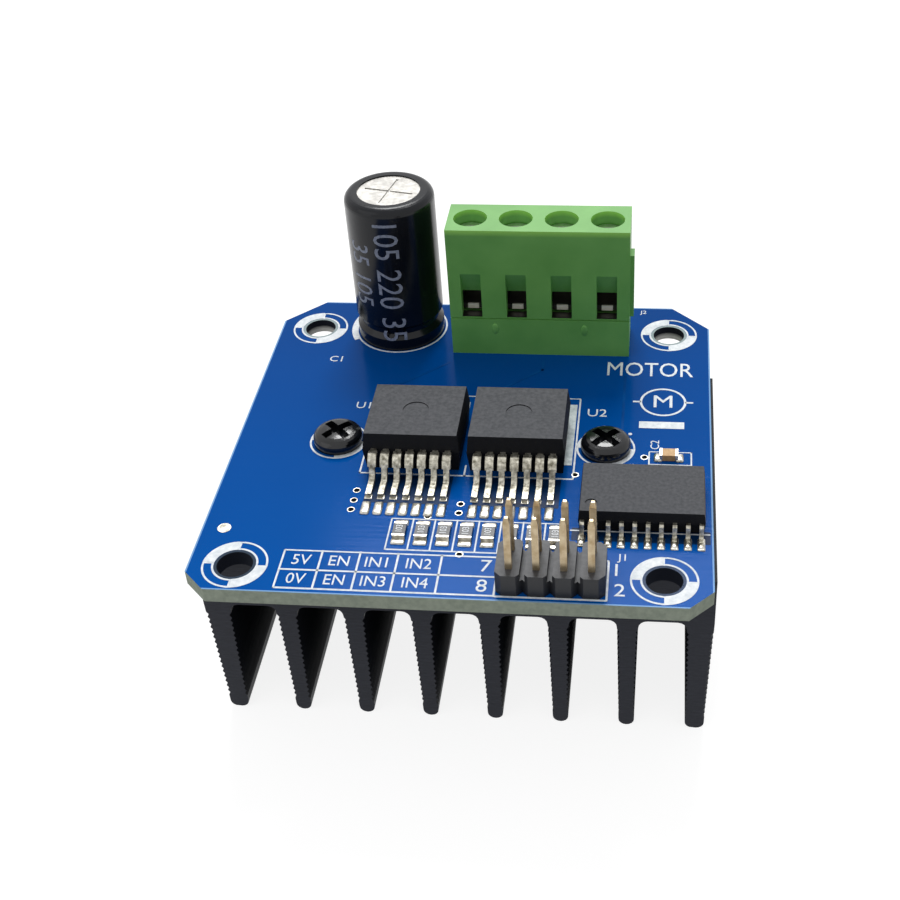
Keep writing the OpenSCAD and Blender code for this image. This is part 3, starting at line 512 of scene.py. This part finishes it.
# Electrolytic capacitor: drawn aluminium can in a shrunk glossy sleeve, sealed by a rubber bung.
# Its rating runs down the sleeve in pale grey print, beside a stripe for the minus side.
can_metal, tree, shader, coords = start_material("bare_drawn_aluminium", "#B9B7B2", 0.45, Metallic=0.7)
vary_colour(tree, shader, coords, 0.6, "#A09E9A", "#C6C4BF")
grain(tree, shader, coords, 0.12, 0.01)
dress(can_metal, "capacitor_can")
sleeve_film, tree, shader, coords = start_material(
    "black_shrink_sleeve", "#0B0D14", 0.2, **{"Specular IOR Level": 0.3})
vary_colour(tree, shader, coords, 4, "#070A10", "#0E121B")
grain(tree, shader, coords, 1.6, 0.03, 0.5)
dress(sleeve_film, "capacitor_sleeve")
rubber, tree, shader, coords = start_material("butyl_rubber", "#26272A", 0.8)
vary_colour(tree, shader, coords, 0.5, "#1E1F22", "#303236")
dress(rubber, "capacitor_bung")

sleeve_low, sleeve_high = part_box("capacitor_sleeve")
cap_middle = (sleeve_low + sleeve_high) / 2
cap_radius = (sleeve_high.x - sleeve_low.x) / 2


def wrap_print(text, height_mm, angle_deg, lift_mm, squeeze):
    """Letters that read down the sleeve, bent round it; angle 0 faces the front."""
    flat_print = bmesh.new()
    letters(flat_print, text, (0, 0), height_mm, -90, squeeze)
    for step in range(-14, 15):  # cuts 0.2 mm apart let the flat letters bend
        geometry = flat_print.verts[:] + flat_print.edges[:] + flat_print.faces[:]
        bmesh.ops.bisect_plane(flat_print, geom=geometry, plane_co=(step * 0.2 * MM, 0, 0),
                               plane_no=(1, 0, 0))
    surface = cap_radius + 0.012 * MM
    for vert in flat_print.verts:
        turn = vert.co.x / surface + math.radians(angle_deg)
        height = cap_middle.z + lift_mm * MM + vert.co.y
        vert.co = Vector((cap_middle.x + math.sin(turn) * surface,
                          cap_middle.y - math.cos(turn) * surface, height))
    return flat_print


pale_print, tree, shader, coords = start_material("pale_grey_print", "#8F96A6", 0.45)
vary_colour(tree, shader, coords, 0.3, "#7C8394", "#A4ABB9")
for name, text, height_mm, angle_deg, lift_mm, squeeze in (
    ("capacitor_rating", "105 220 35", 2.9, 0, 0.1, 0.88),
    ("capacitor_stripe", "35 105", 2.7, -40, 0.6, 0.8),
):
    rating = wrap_print(text, height_mm, angle_deg, lift_mm, squeeze)
    add_piece(name, rating, pale_print)

# Terminal block: two moulded halves of green polyamide, clipped together over the contacts.
# The plastic is slightly waxy, and its upright faces carry a painted highlight along their top edge.
# Two small latch pips stand out on the lower half.
polyamide, tree, shader, coords = start_material("green_polyamide", "#6DB054", 0.42)
green = vary_colour(tree, shader, coords, 5, "#66A850", "#76B85E")
grain(tree, shader, coords, 0.25, 0.008)
housing_low, housing_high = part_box("terminal_housing")
place = add_node(tree, "ShaderNodeSeparateXYZ", {"Vector": coords})
upright = calculate(tree, "LESS_THAN", facing(tree, "Z"), 0.5)
# Painted highlight: a pale green band along the top 0.7 mm of the upright faces.
painted_top_edge_highlight = add_node(tree, "ShaderNodeMapRange",
                    {"Value": place.outputs["Z"], "From Min": housing_high.z - 0.7 * MM,
                     "From Max": housing_high.z - 0.1 * MM, "To Max": upright})
tree.links.new(mix_colours(tree, painted_top_edge_highlight.outputs["Result"], green, "#A4E869"), shader.inputs["Base Color"])
dress(polyamide, "terminal_housing", "terminal_base")
latches = bmesh.new()
base_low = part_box("terminal_base")[0]
for x_mm in (0.95, 10.95):
    pip = bmesh.ops.create_uvsphere(latches, u_segments=12, v_segments=8, radius=1)["verts"]
    bmesh.ops.transform(latches, verts=pip, matrix=(
        Matrix.Translation((x_mm * MM, base_low.y, board_top + 3.4 * MM))
        @ Matrix.Diagonal((0.38 * MM, 0.14 * MM, 0.7 * MM, 1))))
add_piece("latch_pips", latches, polyamide, smooth_below_deg=60)

# Clamp screws: slotted steel screws under bright nickel plate, one in each round well of the
# housing. Turning one draws up the wire cage on its thread.
nickel, tree, shader, coords = start_material("nickel_plated_steel", "#E4E3DE", 0.3, Metallic=1.0)
vary_colour(tree, shader, coords, 0.5, "#D2D1CB", "#F2F1EE")
grain(tree, shader, coords, 0.1, 0.006)
dress(nickel, *[f"clamp_screw_{way}" for way in range(1, 5)])

# Wire cages: steel boxes bent from strip, one on each clamp screw, drawn dark as painted shade inside
# the housing. In the window a painted highlight lies on the lip at the wire mouth.
cage_steel_painted_shade, tree, shader, coords = start_material("steel_cage_painted_shade_highlight", "#3A3A36", 0.5, Metallic=0.6)
cage_low, cage_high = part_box("wire_cage_1")
place = add_node(tree, "ShaderNodeSeparateXYZ", {"Vector": coords})
LIP_HALF, LIP_HEIGHT, LIP_DEPTH, HALF_PITCH = 0.63 * MM, 0.62 * MM, 0.2 * MM, 2.5 * MM
off_first = calculate(tree, "SUBTRACT", place.outputs["X"], (cage_low.x + cage_high.x) / 2)
narrow = calculate(tree, "LESS_THAN", calculate(tree, "PINGPONG", off_first, HALF_PITCH), LIP_HALF)
low_down = calculate(tree, "LESS_THAN", place.outputs["Z"], cage_low.z + LIP_HEIGHT)
in_front = calculate(tree, "LESS_THAN", place.outputs["Y"], cage_low.y + LIP_DEPTH)
painted_lip_highlight = calculate(tree, "MULTIPLY", calculate(tree, "MULTIPLY", narrow, low_down), in_front)
# Painted shade and highlight: a dark cage, with a pale painted highlight on the lip at the wire mouth.
tree.links.new(mix_colours(tree, painted_lip_highlight, "#2E2E2B", "#F4F1E4"), shader.inputs["Base Color"])
grain(tree, shader, coords, 0.1, 0.006)
dress(cage_steel_painted_shade, *[f"wire_cage_{way}" for way in range(1, 5)])

# Painted shade on the sills: a thin dark strip lies on the sill of each wire window, in front of its cage.
# It stays with the housing when the cage moves.
sill_shade_strips = bmesh.new()
strip_depth = cage_low.y - housing_low.y - 0.15 * MM
for way in range(1, 5):
    low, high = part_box(f"wire_cage_{way}")
    verts = bmesh.ops.create_cube(sill_shade_strips, size=1)["verts"]
    bmesh.ops.transform(sill_shade_strips, verts=verts, matrix=Matrix.Translation(
        ((low.x + high.x) / 2, housing_low.y + 0.08 * MM + strip_depth / 2, board_top + 4.97 * MM))
        @ Matrix.Diagonal((2.2 * MM, strip_depth, 0.1 * MM, 1)))
# Painted shade: the strip is near black, as the sill lies in shade.
painted_sill_shade, tree, shader, coords = start_material("dark_strip_painted_sill_shade", "#1C1C1A", 0.4, Metallic=0.4)
vary_colour(tree, shader, coords, 0.4, "#121211", "#2E2C26")
add_piece("painted_sill_shade_strips", sill_shade_strips, painted_sill_shade)

# Tinned parts: contacts, leads and driver tabs, stamped from copper under matt tin plate. Bending
# and cropping leave the plate in patches of grey.
tin, tree, shader, coords = start_material("matt_tin_plate", "#BDB8A8", 0.38, Metallic=0.9)
vary_colour(tree, shader, coords, 0.4, "#6E6A5C", "#E2DECF", 4.0)
grain(tree, shader, coords, 0.15, 0.01)
dress(tin, "terminal_contacts", "capacitor_leads", "driver_tab_left", "driver_tab_right",
      "driver_leads_left", "driver_leads_right", "logic_chip_leads")

# Chips: bodies moulded round their leads from mineral-filled black epoxy. The blasted top has a fine
# matt grain and is drawn grey as painted light; the sides are drawn near black as painted shade.
resin, tree, shader, coords = start_material(
    "mineral_filled_epoxy", "#47494D", 0.68, **{"Specular IOR Level": 0.2})
top_grain_with_painted_light = vary_colour(tree, shader, coords, 0.35, "#44464A", "#58595D", 5.0)
is_top = calculate(tree, "GREATER_THAN", facing(tree, "Z"), 0.9)
# Painted light and shade: grey top faces, near-black sides.
tree.links.new(mix_colours(tree, is_top, "#0B0C10", top_grain_with_painted_light), shader.inputs["Base Color"])
grain(tree, shader, coords, 0.12, 0.012)
dress(resin, "driver_body_left", "driver_body_right", "logic_chip_body")

# Pin header: two rows of square brass pins, flashed with gold and pressed through a moulding of
# black glass-filled nylon, which is notched between them. Its top is drawn paler as painted light,
# and its sides darker as painted shade.
moulding, tree, shader, coords = start_material("black_glass_filled_nylon", "#2B2D33", 0.5)
fibres_with_painted_light = vary_colour(tree, shader, coords, 0.6, "#303237", "#4A4C51")
is_top = calculate(tree, "GREATER_THAN", facing(tree, "Z"), 0.9)
# Painted light and shade: paler top faces, darker sides.
tree.links.new(mix_colours(tree, is_top, "#17191E", fibres_with_painted_light), shader.inputs["Base Color"])
grain(tree, shader, coords, 0.15, 0.01)
dress(moulding, "header_housing")
gold, tree, shader, coords = start_material("gold_flashed_brass", "#BFAB8B", 0.36, Metallic=0.8)
vary_colour(tree, shader, coords, 0.8, "#A8926F", "#D2C1A2")
dress(gold, "header_pins")

# Chip resistors and the ceramic capacitor: fired ceramic blocks with tinned ends, soldered flat.
# The resistors wear a black glass coat, printed with a plain value in white.
glaze, tree, shader, coords = start_material("black_glass_overcoat", "#1D1F24", 0.3)
vary_colour(tree, shader, coords, 0.4, "#17191D", "#282A30")
dress(glaze, *[f"resistor_{index}" for index in range(1, 9)])
ceramic, tree, shader, coords = start_material("tan_fired_ceramic", "#C49A62", 0.5)
vary_colour(tree, shader, coords, 0.5, "#B58A54", "#D6B07C")
grain(tree, shader, coords, 0.2, 0.01)
dress(ceramic, "ceramic_capacitor_body")
dress(solder_metal, "resistor_ends", "ceramic_capacitor_ends", "solder_joints")

marks = bmesh.new()
mark_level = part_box("resistor_1")[1].z
for index in range(1, 9):
    low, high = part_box(f"resistor_{index}")
    middle = ((low.x + high.x) / 2 / MM, (low.y + high.y) / 2 / MM)
    letters(marks, "103", middle, 0.7, turn_deg=90, squeeze=0.8)
bmesh.ops.translate(marks, verts=marks.verts, vec=(0, 0, mark_level - board_top))
add_piece("resistor_marks", marks, ink)

# Surface-mount solder: every lead and metal end sits on a tinned pad in a soft fillet.
# Reflow leaves each one a low rounded mound, a little longer in front of the foot.
solder = bmesh.new()


def mound(bm, centre, size_mm, height_mm):
    """A low rounded solder mound on the board, centred on a point in millimetres."""
    verts = bmesh.ops.create_cube(bm, size=1)["verts"]
    place = (Matrix.Translation((centre[0] * MM, centre[1] * MM, board_top + height_mm * MM / 2))
             @ Matrix.Diagonal((size_mm[0] * MM, size_mm[1] * MM, height_mm * MM, 1)))
    bmesh.ops.transform(bm, matrix=place, verts=verts)
    faces = {face for vert in verts for face in vert.link_faces}
    top = max(faces, key=lambda face: face.calc_center_median().z)
    rim = [*top.edges, *[e for v in top.verts for e in v.link_edges if e not in top.edges]]
    bmesh.ops.bevel(bm, geom=rim, offset=min(height_mm * 0.9, min(size_mm) * 0.4) * MM, segments=3,
                    profile=0.5, affect="EDGES", material=-1)


LEAD_PITCH_MM = 1.27
for side in ("left", "right"):
    low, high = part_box(f"driver_leads_{side}")
    first = (low.x + high.x) / 2 / MM - 3 * LEAD_PITCH_MM
    for index in range(7):
        x = first + index * LEAD_PITCH_MM
        mound(solder, (x, low.y / MM + 0.1), (0.8, 0.7), 0.08)
        mound(solder, (x, low.y / MM - 1.7), (0.94, 1.9), 0.25)
logic_low, logic_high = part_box("logic_chip_leads")
for index in range(10):
    x = (logic_low.x + logic_high.x) / 2 / MM + (index - 4.5) * LEAD_PITCH_MM
    for y, aim in ((logic_low.y / MM, -1), (logic_high.y / MM, 1)):
        mound(solder, (x, y + 0.1 * aim), (0.78, 1.7), 0.14)
        mound(solder, (x, y + 0.4 * aim), (0.72, 0.9), 0.28)
for index in range(1, 9):
    low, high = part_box(f"resistor_{index}")
    x = (low.x + high.x) / 2 / MM
    for y in (low.y / MM - 0.6, high.y / MM + 0.6):
        mound(solder, (x, y), (1.4, 0.85), 0.2)
ceramic_low, ceramic_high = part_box("ceramic_capacitor_ends")
for x in (ceramic_low.x / MM - 0.15, ceramic_high.x / MM + 0.15):
    mound(solder, (x, (ceramic_low.y + ceramic_high.y) / 2 / MM - 0.15), (0.9, 1.3), 0.3)
add_piece("surface_solder", solder, solder_metal, smooth_below_deg=60)

# Driver lands: the bare copper under each driver's metal tab, a little longer than the tab. It is
# tinned and levelled with hot air, which leaves a dull white skin.
lands = bmesh.new()
for left_mm, right_mm in ((-10.4, -0.9), (0.4, 10.75)):
    mound(lands, ((left_mm + right_mm) / 2, 0.2), (right_mm - left_mm, 10.4), 0.06)
levelled, tree, shader, coords = start_material("hot_air_levelled_tin", "#C6D0D2", 0.7, Metallic=0.2)
vary_colour(tree, shader, coords, 0.5, "#AEBABD", "#DCE4E6")
add_piece("driver_lands", lands, levelled)
